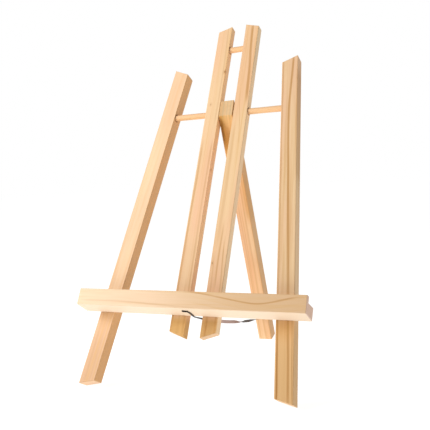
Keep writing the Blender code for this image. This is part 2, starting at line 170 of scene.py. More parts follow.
class Graph:
    """A material's node tree, with short ways to add what the materials here need."""

    def __init__(self, name):
        self.material = bpy.data.materials.new(name)
        self.material.use_nodes = True
        self.tree = self.material.node_tree
        self.shader = self.tree.nodes["Principled BSDF"]

    def node(self, kind, **settings):
        made = self.tree.nodes.new("ShaderNode" + kind)
        for key, value in settings.items():
            setattr(made, key, value)
        return made

    def feed(self, socket, value):
        if isinstance(value, bpy.types.NodeSocket):
            self.tree.links.new(value, socket)
        else:
            socket.default_value = value

    def paint(self, name, value):
        """Set or link one of the shader's own sockets."""
        self.feed(self.shader.inputs[name], value)

    def math(self, operation, *values):
        made = self.node("Math", operation=operation)
        for socket, value in zip(made.inputs, values):
            self.feed(socket, value)
        return made.outputs[0]

    def length(self, first, second):
        """The length of a flat vector."""
        return self.math("SQRT", self.math("ADD", self.math("MULTIPLY", first, first),
                                           self.math("MULTIPLY", second, second)))

    def weighted(self, *terms):
        """The sum of (value, weight) terms."""
        total, *rest = [self.math("MULTIPLY", value, weight) for value, weight in terms]
        for term in rest:
            total = self.math("ADD", total, term)
        return total

    def ramp(self, value, low, high, out_low=0.0, out_high=1.0):
        """A smooth step between two values."""
        made = self.node("MapRange", interpolation_type="SMOOTHSTEP")
        for socket, item in zip(made.inputs, (value, low, high, out_low, out_high)):
            self.feed(socket, item)
        return made.outputs[0]

    def curve(self, value, stops, interpolation="LINEAR"):
        """A grey ramp through (position, level) stops."""
        made = self.node("ValToRGB")
        made.color_ramp.interpolation = interpolation
        elements = made.color_ramp.elements
        while len(elements) < len(stops):
            elements.new(0.5)
        for element, (position, level) in zip(elements, stops):
            element.position = position
            element.color = (level, level, level, 1)
        self.feed(made.inputs[0], value)
        return made.outputs[0]

    def line(self, z, points):
        """The x, at each z, of a smooth line through (z, x) points of a batten."""
        first, last = points[0][0], points[-1][0]
        stops = [((at - first) / (last - first), 0.5 + x / LINE_RANGE) for at, x in points]
        share = self.math("DIVIDE", self.math("SUBTRACT", z, first), last - first)
        level = self.curve(share, stops, "B_SPLINE")
        return self.math("MULTIPLY", self.math("SUBTRACT", level, 0.5), LINE_RANGE)

    def vector(self, x, y, z):
        made = self.node("CombineXYZ")
        for socket, value in zip(made.inputs, (x, y, z)):
            self.feed(socket, value)
        return made.outputs[0]

    def cells(self, x, y, z, scale, seed=0.0):
        """A place in noise with scale (across, along) cells for each metre of a batten."""
        across, along = scale
        return self.vector(self.math("MULTIPLY", x, across), self.math("MULTIPLY", y, across),
                           self.math("MULTIPLY_ADD", z, along, seed))

    def noise(self, vector, scale, detail, roughness=0.5):
        made = self.node("TexNoise")
        self.feed(made.inputs["Vector"], vector)
        made.inputs["Scale"].default_value = scale
        made.inputs["Detail"].default_value = detail
        made.inputs["Roughness"].default_value = roughness
        return made.outputs["Fac"]

    def mix(self, share, first, second):
        made = self.node("Mix", data_type="RGBA")
        self.feed(made.inputs["Factor"], share)
        self.feed(made.inputs[MIX_FIRST], first)
        self.feed(made.inputs[MIX_SECOND], second)
        return made.outputs[MIX_RESULT]

    def bump(self, height, distance, strength):
        made = self.node("Bump")
        made.inputs["Strength"].default_value = strength
        made.inputs["Distance"].default_value = distance
        self.feed(made.inputs["Height"], height)
        self.paint("Normal", made.outputs[0])

    def local(self, place):
        """Object coordinates measured in a batten's own frame."""
        coordinates = self.node("TexCoord")
        mapping = self.node("Mapping", vector_type="TEXTURE")
        mapping.inputs["Location"].default_value = place.to_translation()
        mapping.inputs["Rotation"].default_value = place.to_euler()
        self.feed(mapping.inputs["Vector"], coordinates.outputs["Object"])
        split = self.node("SeparateXYZ")
        self.feed(split.inputs[0], mapping.outputs[0])
        return split.outputs[0], split.outputs[1], split.outputs[2]

    def facing(self, place, axis):
        """How far the surface lies across one of a frame's axes: 1 square to it, 0 along it."""
        coordinates = self.node("TexCoord")
        product = self.node("VectorMath", operation="DOT_PRODUCT")
        self.feed(product.inputs[0], coordinates.outputs["Normal"])
        product.inputs[1].default_value = place.to_3x3() @ Vector(axis)
        return self.math("ABSOLUTE", product.outputs["Value"])


# ---------------------------------------------------------------- wood
PINE_LATE = linear(228, 178, 112)
PINE_STREAK = linear(194, 138, 72)
PINE_KNOT = linear(140, 88, 48)
PINE_END = linear(240, 206, 172)
# painted shade round the mouths of bores, where the dowels go in
BORE_MOUTH_SHADE = linear(112, 66, 22)
# golden tones painted on the uprights below the tray: painted shade, with some golden tone of the wood
GOLDEN_TRAY_SHADE = linear(215, 168, 100)
DULL_GOLDEN_TRAY_SHADE = linear(201, 155, 94)
# a tan painted on the front legs just under the tray, painted shade; on the rear leg a tan streak
DEEP_TAN_AND_TRAY_SHADE = linear(212, 156, 78)
# olive painted along the rear leg's head beside the uprights, painted shade
OLIVE_PAINTED_SHADE = linear(122, 80, 26)
UMBER = linear(174, 114, 46)
# pale painted on the right of the rear leg's head, painted light
PALE_PAINTED_LIGHT = linear(240, 196, 138)
GREY_GRAIN = linear(186, 160, 112)
ROSY_TAN = linear(226, 182, 138)

# noise cells for each metre, across the grain and along it
SLOW_CELLS, STREAK_CELLS, FIBRE_CELLS, PORE_CELLS = (60, 9), (330, 6), (1000, 26), (2400, 300)
# scale and detail of each noise, and its roughness where it isn't 0.5
WANDER_NOISE, ROSY_NOISE, STREAK_NOISE = (0.6, 2), (0.8, 1), (1.0, 2, 0.55)
FIBRE_NOISE, PORE_NOISE = (1.0, 3, 0.6), (1.0, 1)
STREAK_SEED = 3                         # added to a batten's seed for its streaks
GRAIN_WANDER = 0.006                    # how far streaks bend with the slow noise
RING_FRAY = 0.0004                      # how far fibres fray the edge of a ring
RING_STOPS = (                          # (share of a ring, strength of its latewood)
    (0, 0.0), (0.35, 0.08), (0.75, 0.5), (0.9, 1.0), (0.97, 0.35), (1, 0))
FAINTEST_RING = 0.3
PLAIN_RINGS = 0.12                      # what is left of the rings in a plain stretch

# smooth steps: from, to, and where they aren't 0 and 1 the strengths there
ROSY_STEP = (0.36, 0.64)
DARK_FIBRES = (0.50, 0.74, 0.0, 0.42)
FINE_GRAIN = (0.3, 0.75, 0.0, 0.2)
STREAK_GAPS = (0.25, 0.6, 0.55, 1.0)
EDGE_DARK_GAPS = (0.3, 0.7, 0.5, 1.0)
EDGE_DARKENING = (0.0011, 0.0002, 0.0, 0.40)             # metres from the edge
PAINTED_SIDE_EDGE = (0.0009, 0.0002)                        # metres inside the +x side, where its painted light and shade begins and is full
BORE_SHADE_RING = (0.0056, 0.0042, 0.0, 0.9)              # metres from the bore's axis, for the painted shade round its mouth
BORE_FACING = (0.6, 0.9)
END_FACING = (0.35, 0.75)

STREAK_CORE = 0.2                       # share of a streak's half width with its full strength
STREAK_FADE = 0.012                     # a streak fades this far before and after its end points
KNOT_STRETCH = 1.7                      # a knot's length for each width
KNOT_RINGS = (                          # (where it ends and is full, in radii, strength, colour)
    (3.2, 0.9, 0.4, PINE_STREAK), (1.3, 0.4, 0.8, PINE_KNOT))

WOOD_ROUGHNESS, FIBRE_ROUGHNESS, END_ROUGHNESS = 0.46, 0.16, 0.2
WOOD_SPECULAR = 0.22
WOOD_RELIEF, WOOD_BUMP = 0.00012, 0.8
FIBRE_HEIGHT, RING_HEIGHT, PORE_HEIGHT = 0.6, 0.5, 0.35


def streak(points, width, amount, tone=PINE_STREAK):
    """A darker streak through (z, x) points of a batten, with its half width and strength."""
    return points, width, amount, tone


def growth_rings(graph, spot, wander, fibre, pith, drift, bow, ring, wavy):
    """The latewood's strength, from 0 to 1, in rings round a pith line."""
    x, y, z = spot
    amount, middle, reach = bow
    radius = graph.length(
        graph.math("SUBTRACT", x, graph.math("MULTIPLY_ADD", z, drift[0], pith[0])),
        graph.math("SUBTRACT", y, graph.math("MULTIPLY_ADD", z, drift[1], pith[1])))
    along = graph.math("SUBTRACT", z, middle)
    square = graph.math("MULTIPLY", along, along)
    arch = graph.math("DIVIDE", square, graph.math("MULTIPLY_ADD", square, reach ** -2, 1.0))
    radius = graph.math("MULTIPLY_ADD", arch, amount, radius)
    radius = graph.math("MULTIPLY_ADD", wander, wavy, radius)
    radius = graph.math("MULTIPLY_ADD", graph.math("SUBTRACT", fibre, 0.5), RING_FRAY, radius)
    rings = graph.math("DIVIDE", radius, ring)
    latewood = graph.curve(graph.math("FRACT", rings), RING_STOPS)
    which = graph.node("TexWhiteNoise", noise_dimensions="1D")
    graph.feed(which.inputs["W"], graph.math("FLOOR", rings))
    strength = graph.math("MULTIPLY_ADD", which.outputs["Value"], 1 - FAINTEST_RING, FAINTEST_RING)
    return graph.math("MULTIPLY", latewood, strength)


def add_streaks(graph, colour, z, bent, streaks, lines):
    """Darker streaks along the grain, broken up by the noise of the fibres."""
    for points, width, amount, tone in lines:
        offset = graph.math("SUBTRACT", bent, graph.line(z, points))
        line = graph.ramp(graph.math("ABSOLUTE", offset), width, width * STREAK_CORE, 0.0, amount)
        first, last = points[0][0], points[-1][0]
        ends = graph.math("MULTIPLY", graph.ramp(z, first - STREAK_FADE, first + STREAK_FADE),
                          graph.ramp(z, last + STREAK_FADE, last - STREAK_FADE))
        uneven = graph.math("MULTIPLY", line, graph.ramp(streaks, *STREAK_GAPS))
        colour = graph.mix(graph.math("MULTIPLY", uneven, ends), colour, tone)
    return colour


def add_knots(graph, colour, spot, knots):
    """Small knots, each a dark heart in a wider brown halo."""
    for *middle, size, dark in knots:
        sizes = (size, size, size * KNOT_STRETCH)
        away = graph.vector(*[graph.math("DIVIDE", graph.math("SUBTRACT", value, at), reach)
                              for value, at, reach in zip(spot, middle, sizes)])
        far = graph.node("VectorMath", operation="LENGTH")
        graph.feed(far.inputs[0], away)
        for end, full, strength, tone in KNOT_RINGS:
            share = graph.ramp(far.outputs["Value"], end, full, 0.0, strength * dark)
            colour = graph.mix(share, colour, tone)
    return colour


def add_bore_shade(graph, colour, bores):
    """Painted shade on the faces round the mouths of bores, where the dowels go in."""
    for bore, reach in bores:
        bore_x, bore_y, bore_z = graph.local(bore)
        from_axis = graph.length(bore_y, bore_z)
        facing = graph.ramp(graph.facing(bore, (1, 0, 0)), *BORE_FACING)
        within = graph.math("LESS_THAN", graph.math("ABSOLUTE", bore_x), reach)
        mouth_shade = graph.math("MULTIPLY", graph.ramp(from_axis, *BORE_SHADE_RING),
                           graph.math("MULTIPLY", facing, within))
        colour = graph.mix(mouth_shade, colour, BORE_MOUTH_SHADE)
    return colour


def add_edge_darkening(graph, colour, spot, half, streaks, late):
    """Long edges a little darker."""
    edge_x = graph.math("SUBTRACT", half[0], graph.math("ABSOLUTE", spot[0]))
    edge_y = graph.math("SUBTRACT", half[1], graph.math("ABSOLUTE", spot[1]))
    edge = graph.ramp(graph.math("MAXIMUM", edge_x, edge_y), *EDGE_DARKENING)
    return graph.mix(graph.math("MULTIPLY", edge, graph.ramp(streaks, *EDGE_DARK_GAPS)), colour, late)


def wood(name, place, half, *, pith, ring, contrast, seed, light, rosy, late=PINE_LATE,
         end_tone=PINE_END, end_share=0.7, drift=(0.0, 0.0), bow=(0.0, 0.0, 1.0), wavy=0.004,
         painted_shade_fade=None, side=None, plain=None, lines=(), knots=(), bores=()):
    """Bare sanded pine cut from a log whose growth rings run round a pith line.

    place is the batten's frame with z along the grain, half its half width and half thickness,
    pith the pith's x and y there, ring the width of a ring, contrast the strength of the rings,
    light and rosy the wood's two tones, late the tone of its darker grain, and end_tone and
    end_share the tone of its ends and its share. drift is how far the pith moves across for
    each metre along, bow (amount, z, reach) a curve in the rings about z, which gives an arch,
    and wavy how far rings wander. fade (colour, z, z) tints the batten from the first z to the
    second: painted shade, in places with some tone of the wood. side (colour, strength) tints
    its +x side: painted light where the tint is lighter, painted shade where it is darker.
    plain is (z, z), between which the rings come up from almost nothing. lines are streaks,
    knots are (x, y, z, radius, strength), and bores are (frame with x along a bore, reach), with
    painted shade round their mouths."""
    graph = Graph(name)
    spot = graph.local(place)
    x, y, z = spot
    slow = graph.cells(x, y, z, SLOW_CELLS, seed)
    wander = graph.math("SUBTRACT", graph.noise(slow, *WANDER_NOISE), 0.5)
    bent = graph.math("MULTIPLY_ADD", wander, GRAIN_WANDER, x)
    fibre = graph.noise(graph.cells(x, y, z, FIBRE_CELLS, seed), *FIBRE_NOISE)
    streaks = graph.noise(graph.cells(bent, y, z, STREAK_CELLS, seed + STREAK_SEED), *STREAK_NOISE)
    latewood = growth_rings(graph, spot, wander, fibre, pith, drift, bow, ring, wavy)
    latewood = graph.math("MULTIPLY", latewood, contrast)
    if plain:
        latewood = graph.math("MULTIPLY", latewood, graph.ramp(z, *plain, PLAIN_RINGS, 1.0))

    colour = graph.mix(graph.ramp(graph.noise(slow, *ROSY_NOISE), *ROSY_STEP), light, rosy)
    # painted shade: the batten tinted darker from one z to another
    if painted_shade_fade:
        colour = graph.mix(graph.ramp(z, *painted_shade_fade[1:]), colour, painted_shade_fade[0])
    colour = graph.mix(latewood, colour, late)
    colour = graph.mix(graph.ramp(streaks, *DARK_FIBRES), colour, late)
    colour = graph.mix(graph.ramp(fibre, *FINE_GRAIN), colour, late)
    colour = add_streaks(graph, colour, z, bent, streaks, lines)
    colour = add_knots(graph, colour, spot, knots)
    # painted light and shade: the +x side tinted lighter on some battens and darker on others, for how light falls
    # on it
    if side:
        painted_side_share = graph.ramp(x, half[0] - PAINTED_SIDE_EDGE[0], half[0] - PAINTED_SIDE_EDGE[1], 0.0, side[1])
        colour = graph.mix(painted_side_share, colour, side[0])
    colour = add_bore_shade(graph, colour, bores)
    end = graph.ramp(graph.facing(place, (0, 0, 1)), *END_FACING)
    colour = graph.mix(graph.math("MULTIPLY", end, end_share), colour, end_tone)
    graph.paint("Base Color", add_edge_darkening(graph, colour, spot, half, streaks, late))

    rough = graph.math("MULTIPLY_ADD", fibre, FIBRE_ROUGHNESS, WOOD_ROUGHNESS)
    graph.paint("Roughness", graph.math("MULTIPLY_ADD", end, END_ROUGHNESS, rough))
    graph.paint("Specular IOR Level", WOOD_SPECULAR)
    pores = graph.noise(graph.cells(x, y, z, PORE_CELLS), *PORE_NOISE)
    relief = graph.weighted((fibre, FIBRE_HEIGHT), (latewood, RING_HEIGHT), (pores, PORE_HEIGHT))
    graph.bump(relief, WOOD_RELIEF, WOOD_BUMP)
    return graph.material


def coat(node, material):
    """Give a CAD node one material."""
    item = frame["nodes"][node]
    item.data.materials.clear()
    item.data.materials.append(material)


# ---------------------------------------------------------------- battens
CROSS_BORE = (CROSS_AXIS, CROSS_BORE_REACH)
TOP_BORE = (TOP_AXIS, TOP_BORE_REACH)


def finish_legs():
    half = (LEG_WIDTH / 2, LEG_THICKNESS / 2)
    coat("left_leg", wood(
        "left_leg_pine", leg_place(-1), half, pith=(0.05, 0.045), drift=(0.01, 0.0), ring=0.0046,
        seed=1.0, contrast=0.2, light=linear(249, 214, 172), rosy=linear(248, 204, 166),
        # fade: the lower leg painted darker and rosier, painted shade with some pink tone of the wood. side: its
        # +x side painted darker golden, painted shade
        painted_shade_fade=(linear(230, 185, 147), 0.16, 0.03), side=(linear(219, 165, 100), 0.6),
        bores=(CROSS_BORE,),
        # the first streak: painted shade just under the tray
        lines=(streak(((0.070, 0.0), (0.088, 0.0)), 0.016, 0.3, DEEP_TAN_AND_TRAY_SHADE),
               streak(((0.0, -0.004), (0.06, -0.0045), (0.14, -0.006)), 0.0022, 0.16),
               streak(((0.0, 0.003), (0.05, 0.002), (0.12, 0.004)), 0.0018, 0.12))))
    coat("right_leg", wood(
        "right_leg_pine", leg_place(1), half, pith=(-0.03, 0.05), drift=(0.03, 0.0), ring=0.0036,
        seed=7.0, contrast=0.34, light=linear(245, 210, 164), rosy=linear(245, 203, 164),
        # fade: painted darker and more golden from just above the tray down to the foot, painted shade
        late=linear(218, 168, 106), painted_shade_fade=(linear(230, 186, 130), 0.12, 0.05), bores=(CROSS_BORE,),
        lines=(streak(((0.0, 0.0046), (0.10, 0.0036), (0.20, 0.0016), (0.28, 0.0), (0.34, 0.0002),
                       (0.38, 0.0022), (0.419, 0.0046)), 0.0019, 0.85),
               streak(((0.0, -0.0074), (0.2, -0.0080), (0.419, -0.0084)), 0.0017, 0.6),
               streak(((0.0, -0.0074), (0.05, -0.0075), (0.09, -0.0076)), 0.0013, 0.75, UMBER),
               streak(((0.0, 0.0046), (0.05, 0.0042), (0.09, 0.0038)), 0.0016, 0.4, UMBER),
               streak(((0.0, 0.0082), (0.05, 0.0082), (0.09, 0.0082)), 0.0009, 0.6, UMBER),
               # painted shade just under the tray
               streak(((0.068, 0.0), (0.088, 0.0)), 0.018, 0.6, DEEP_TAN_AND_TRAY_SHADE),
               streak(((0.25, 0.0098), (0.33, 0.0088), (0.40, 0.0098)), 0.0018, 0.45))))


def finish_uprights():
    half = (UPRIGHT_WIDTH / 2, UPRIGHT_THICKNESS / 2)
    coat("left_upright", wood(
        "left_upright_pine", upright_place(-1), half, pith=(0.03, 0.05), drift=(-0.01, 0.0),
        ring=0.0034, seed=13.0, contrast=0.28, light=linear(246, 210, 166), rosy=linear(246, 199, 160),
        # fade: the end below the tray painted golden, painted shade
        painted_shade_fade=(GOLDEN_TRAY_SHADE, 0.086, 0.076), bores=(CROSS_BORE, TOP_BORE),
        lines=(streak(((0.09, 0.0), (0.17, 0.0)), 0.03, 0.35, ROSY_TAN),
               streak(((0.06, -0.0070), (0.16, -0.0073), (0.23, -0.0066), (0.30, -0.0072)),
                      0.0024, 0.45),
               streak(((0.06, 0.0075), (0.15, 0.0078), (0.22, 0.0060), (0.30, 0.0070)), 0.0021, 0.42),
               streak(((0.06, 0.0005), (0.09, 0.0010), (0.12, 0.0025)), 0.0018, 0.3),
               streak(((0.33, 0.0052), (0.39, 0.0072), (0.44, 0.0056), (0.477, 0.0040)),
                      0.0018, 0.34)),
        knots=((0.0088, -0.0048, 0.406, 0.0011, 1.0), (-0.004, -0.005, 0.358, 0.0009, 0.4),
               (0.0093, -0.0015, 0.266, 0.0009, 0.7))))
    coat("right_upright", wood(
        "right_upright_pine", upright_place(1), half, pith=(0.008, 0.03), drift=(0.016, 0.0),
        ring=0.003, seed=19.0, contrast=0.34, wavy=0.007, light=linear(246, 210, 164),
        # fade: the end below the tray painted golden, painted shade
        rosy=linear(246, 201, 160), painted_shade_fade=(DULL_GOLDEN_TRAY_SHADE, 0.086, 0.076),
        # side: its +x side painted lighter, painted light
        side=(linear(255, 228, 188), 0.8), bores=(CROSS_BORE, TOP_BORE),
        lines=(streak(((0.09, 0.0), (0.16, 0.0)), 0.03, 0.3, ROSY_TAN),
               streak(((0.36, 0.0060), (0.40, 0.0047), (0.43, 0.0030), (0.477, -0.0006)), 0.0025, 0.7),
               streak(((0.12, 0.0008), (0.14, -0.0006), (0.17, -0.0002), (0.19, 0.0003)), 0.0016, 0.5),
               streak(((0.06, 0.0070), (0.12, 0.0078), (0.15, 0.0052), (0.17, 0.0040)), 0.0016, 0.5),
               streak(((0.06, -0.0050), (0.12, -0.0042), (0.15, -0.0070)), 0.0016, 0.4),
               streak(((0.062, -0.0038), (0.07, -0.0034), (0.08, -0.0030)), 0.0016, 0.7, UMBER),
               streak(((0.17, -0.0050), (0.24, -0.0042), (0.32, -0.0056)), 0.0034, 0.26),
               streak(((0.30, 0.0032), (0.335, 0.0004), (0.37, -0.0038)), 0.0004, 0.5)),
        knots=((-0.0072, -0.005, 0.145, 0.0008, 0.6),)))


def finish_rear_leg():
    coat("rear_leg", wood(
        "rear_leg_pine", REAR_LEG @ Matrix.Translation((REAR_SHIFT, 0, 0)),
        (REAR_WIDTH / 2, REAR_THICKNESS / 2), pith=(-0.03, 0.03), ring=0.0034, seed=29.0,
        contrast=0.36, light=linear(250, 212, 168), rosy=linear(250, 202, 160),
        late=linear(226, 172, 108), end_tone=linear(232, 204, 170), end_share=0.4,
        # side: its +x side painted darker, painted shade. fade: its head between the uprights painted darker
        # golden, painted shade
        side=(linear(220, 170, 108), 0.5), painted_shade_fade=(linear(212, 156, 76), -0.085, -0.035),
        lines=(streak(((-0.31, 0.0), (-0.19, 0.0)), 0.03, 0.4, linear(232, 178, 126)),
               streak(((-0.14, 0.0080), (-0.08, 0.0060)), 0.008, 0.5, DEEP_TAN_AND_TRAY_SHADE),
               # painted light on the right of the head, lit between the uprights
               streak(((-0.026, 0.0050), (-0.012, 0.0040), (0.03, 0.0040)), 0.012, 0.75, PALE_PAINTED_LIGHT),
               # painted shadow of the left upright along the left edge
               streak(((-0.036, -0.0088), (-0.024, -0.0080), (-0.006, -0.0074)), 0.0032, 0.7, OLIVE_PAINTED_SHADE),
               streak(((-0.004, -0.0046), (0.01, -0.0042), (0.03, -0.0038)), 0.0012, 0.75, GREY_GRAIN),
               streak(((-0.004, 0.0002), (0.01, 0.0006), (0.03, 0.0010)), 0.0009, 0.6, GREY_GRAIN),
               streak(((-0.004, 0.0046), (0.01, 0.0050), (0.03, 0.0052)), 0.0013, 0.75, GREY_GRAIN),
               # painted shade in the gap by the right upright, along the right edge
               streak(((0.0, 0.0086), (0.01, 0.0088), (0.03, 0.0090)), 0.0010, 1.0, OLIVE_PAINTED_SHADE),
               streak(((-0.315, 0.0020), (-0.2, 0.0030), (-0.09, 0.0015)), 0.0013, 0.3),
               streak(((-0.315, -0.0050), (-0.2, -0.0042), (-0.12, -0.0055)), 0.0015, 0.3))))


def finish_tray():
    middle = LEAN @ Matrix.Translation((0, -TRAY_DEPTH / 2, TRAY_FOOT + TRAY_HEIGHT / 2))
    coat("tray", wood(
        "tray_pine", across_place(middle), (TRAY_HEIGHT / 2, TRAY_DEPTH / 2), pith=(-0.08365, 0.0),
        bow=(5.3, 0.082, 0.06), ring=0.0062, seed=37.0, contrast=0.42, wavy=0.0012,
        light=linear(249, 224, 188), rosy=linear(248, 215, 180), end_tone=linear(238, 204, 188),
        # fade: the tray painted darker towards its right end, painted shade. side: its +x side, the underside,
        # painted lighter, painted light
        late=linear(226, 182, 122), painted_shade_fade=(linear(230, 192, 150), -0.07, 0.08), plain=(-0.01, 0.03),
        side=(linear(255, 232, 204), 0.95),
        lines=(streak(((-0.13, 0.0043), (-0.08, 0.0036), (-0.02, 0.0063), (0.01, 0.0083)),
                      0.0012, 0.24),
               streak(((0.005, -0.0088), (0.0279, -0.0068), (0.0526, -0.0022), (0.0738, 0.0017),
                       (0.0866, 0.0016), (0.0989, -0.0003), (0.1144, -0.0042), (0.1287, -0.0073)),
                      0.0012, 0.6))))


finish_legs()
finish_uprights()
finish_rear_leg()
finish_tray()


# ---------------------------------------------------------------- new pieces
def new_piece(name, bm):
    """A smooth-shaded object in the scene, made from a bmesh that is freed."""
    bmesh.ops.recalc_face_normals(bm, faces=bm.faces[:])
    mesh = bpy.data.meshes.new(name)
    bm.to_mesh(mesh)
    bm.free()
    mesh.shade_smooth()
    mesh.set_sharp_from_angle(angle=SHARP_ANGLE)
    item = bpy.data.objects.new(name, mesh)
    bpy.context.scene.collection.objects.link(item)
    return item


def sweep(rings, outline):
    """A capped skin through rings, each (centre, side direction, up direction), of one outline."""
    bm = bmesh.new()
    loops = []
    for centre, aside, up in rings:
        loops.append([bm.verts.new(centre + aside * across + up * rise) for across, rise in outline])
    count = len(outline)
    for low, high in zip(loops, loops[1:]):
        for index in range(count):
            after = (index + 1) % count
            bm.faces.new((low[index], low[after], high[after], high[index]))
    bm.faces.new(loops[0][::-1])
    bm.faces.new(loops[-1])
    return bm


def circle(sides):
    """The points of a circle of radius 1."""
    return [(math.cos(math.tau * side / sides), math.sin(math.tau * side / sides))
            for side in range(sides)]


# ---------------------------------------------------------------- dowels
def dowel(name, node, axis, seed):
    """A turned rod, slightly uneven along its length, with eased ends. axis is a frame at its
    middle with x along it."""
    low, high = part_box(node)
    length = high[0] - low[0]
    stations = [(-length / 2, DOWEL_RADIUS - DOWEL_EASE), (-length / 2 + DOWEL_EASE, DOWEL_RADIUS)]
    for step in range(1, DOWEL_STEPS):
        along = (step / DOWEL_STEPS - 0.5) * (length - 2 * DOWEL_EASE)
        uneven = sum(height * math.sin(along * rate + shift * seed)
                     for height, rate, shift in DOWEL_WAVES)
        stations.append((along, DOWEL_RADIUS - DOWEL_SHRINK + uneven))
    stations += [(length / 2 - DOWEL_EASE, DOWEL_RADIUS), (length / 2, DOWEL_RADIUS - DOWEL_EASE)]
    rings = [(Vector((0, 0, along)), Vector((radius, 0, 0)), Vector((0, radius, 0)))
             for along, radius in stations]
    bm = sweep(rings, circle(DOWEL_SIDES))
    place = across_place(axis)
    bm.transform(place)
    item = new_piece(name, bm)
    beyond = DOWEL_RADIUS * 3           # the edges darken near this, so that a rod has no darker edges
    item.data.materials.append(wood(
        name + "_wood", place, (beyond, beyond), pith=(0.012, 0.02), ring=0.0016, seed=seed,
        contrast=0.35, light=linear(250, 208, 158), rosy=linear(248, 198, 152)))
    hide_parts(node)
    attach(item, "frame")


dowel("cross_dowel_rod", "cross_dowel", CROSS_AXIS, 3.0)
dowel("top_dowel_rod", "top_dowel", TOP_AXIS, 5.0)


# ---------------------------------------------------------------- stay tape
RIBBON_FRONT = linear(36, 18, 10)
RIBBON_MAUVE = (linear(196, 158, 146), linear(220, 184, 170))
RIBBON_TUCKED_SHADE = linear(34, 22, 18)
RIBBON_GAPS = linear(40, 26, 26)
RIBBON_SELVEDGE = linear(52, 34, 33)
TUCKED_SHADE_STEP = (0.085, 0.05, 0.0, 0.9)       # metres along the tape, for the painted shade on its tucked, gathered end
SELVEDGE_STEP = (0.38, 0.46, 0.0, 0.4)      # shares of the width from the middle
THREADS, PICK_SPACING, PICK_HEIGHT = 18, 0.0007, 0.6
CLOUD_CELLS = (3, 120)                      # across the tape, and for each metre along it
CLOUD_NOISE = (1.0, 2)
GAP_SHADE, ALL_SHADE = 0.06, 0.10
SATIN_ROUGHNESS, CLOUD_ROUGHNESS = 0.28, 0.2
SATIN_SPECULAR, SATIN_SHEEN, SHEEN_ROUGHNESS = 0.26, 0.03, 0.4
RIBBON_RELIEF, RIBBON_BUMP = 0.00004, 0.7
UV_MARGIN = 0.01


def satin():
    """Satin ribbon: dark brown on its front, mauve on its back, and painted dark on both where it is
    tucked under the tray and gathered behind it, painted shade of its folds and of the tray. Its
    threads lie along its length, and its edges are darker selvedges."""
    graph = Graph("satin_ribbon")
    coordinates = graph.node("TexCoord")
    split = graph.node("SeparateXYZ")
    graph.feed(split.inputs[0], coordinates.outputs["UV"])
    across, along = split.outputs[0], split.outputs[1]
    back = graph.math("GREATER_THAN", across, 1.0)
    place = graph.math("FRACT", across)
    threads = graph.math("SINE", graph.math("MULTIPLY", place, math.tau * THREADS))
    picks = graph.math("SINE", graph.math("MULTIPLY", along, math.tau / PICK_SPACING))
    clouds = graph.vector(graph.math("MULTIPLY", place, CLOUD_CELLS[0]),
                          graph.math("MULTIPLY", along, CLOUD_CELLS[1]), 0.0)
    cloudy = graph.noise(clouds, *CLOUD_NOISE)
    colour = graph.mix(back, RIBBON_FRONT, graph.mix(cloudy, *RIBBON_MAUVE))
    # painted shade on the end tucked under the tray and gathered behind it
    colour = graph.mix(graph.ramp(along, *TUCKED_SHADE_STEP), colour, RIBBON_TUCKED_SHADE)
    colour = graph.mix(graph.math("MULTIPLY_ADD", threads, GAP_SHADE, ALL_SHADE), colour, RIBBON_GAPS)
    from_middle = graph.math("ABSOLUTE", graph.math("SUBTRACT", place, 0.5))
    colour = graph.mix(graph.ramp(from_middle, *SELVEDGE_STEP), colour, RIBBON_SELVEDGE)
    graph.paint("Base Color", colour)
    graph.paint("Roughness", graph.math("MULTIPLY_ADD", cloudy, CLOUD_ROUGHNESS, SATIN_ROUGHNESS))
    graph.paint("Specular IOR Level", SATIN_SPECULAR)
    graph.paint("Sheen Weight", SATIN_SHEEN)
    graph.paint("Sheen Roughness", SHEEN_ROUGHNESS)
    relief = graph.math("ADD", threads, graph.math("MULTIPLY", picks, PICK_HEIGHT))
    graph.bump(relief, RIBBON_RELIEF, RIBBON_BUMP)
    return graph.material


def under_tray(depth):
    """The height of the tray's bevelled underside at a depth behind the battens' front faces."""
    return TRAY_FOOT - TRAY_BEVEL * (1 + depth / TRAY_DEPTH)


def tape_points():
    """The tape's middle line in the leaning frame: gathered and tucked under the tray, across to
    the rear leg with a slight sag, and flat up the leg's front face."""
    to_frame = LEAN.inverted() @ REAR_LEG
    on_leg = -REAR_THICKNESS / 2 - TAPE_LIFT
    meet = to_frame @ Vector((0, on_leg, -TAPE_DOWN_LEG))
    tail = to_frame @ Vector((0, on_leg, -TAPE_DOWN_LEG + TAPE_TAIL))
    start = Vector((TAPE_RUN_X[0], 0, under_tray(0) - TAPE_LIFT))
    meet.x = tail.x = TAPE_RUN_X[1]
    line = [Vector((x, depth, under_tray(depth) - TAPE_LIFT)) for x, depth in TAPE_HOOK]
    for step in range(TAPE_STEPS + 1):
        share = step / TAPE_STEPS
        point = start.lerp(meet, share)
        point.z -= TAPE_SAG * 4 * share * (1 - share)
        line.append(point)
    for step in range(1, TAPE_TAIL_STEPS + 1):
        line.append(meet.lerp(tail, step / TAPE_TAIL_STEPS))
    for _ in range(TAPE_ROUNDING):
        inner = [(before + 2 * point + after) / 4
                 for before, point, after in zip(line, line[1:], line[2:])]
        line = [line[0]] + inner + [line[-1]]
    return line


def tape_twist(depth):
    """How far the tape has turned about its line at a depth behind the front faces."""
    for (near, first), (far, second) in zip(TAPE_TWIST, TAPE_TWIST[1:]):
        if depth <= far:
            return math.radians(first + (second - first) * (depth - near) / (far - near))
    return math.radians(TAPE_TWIST[-1][1])


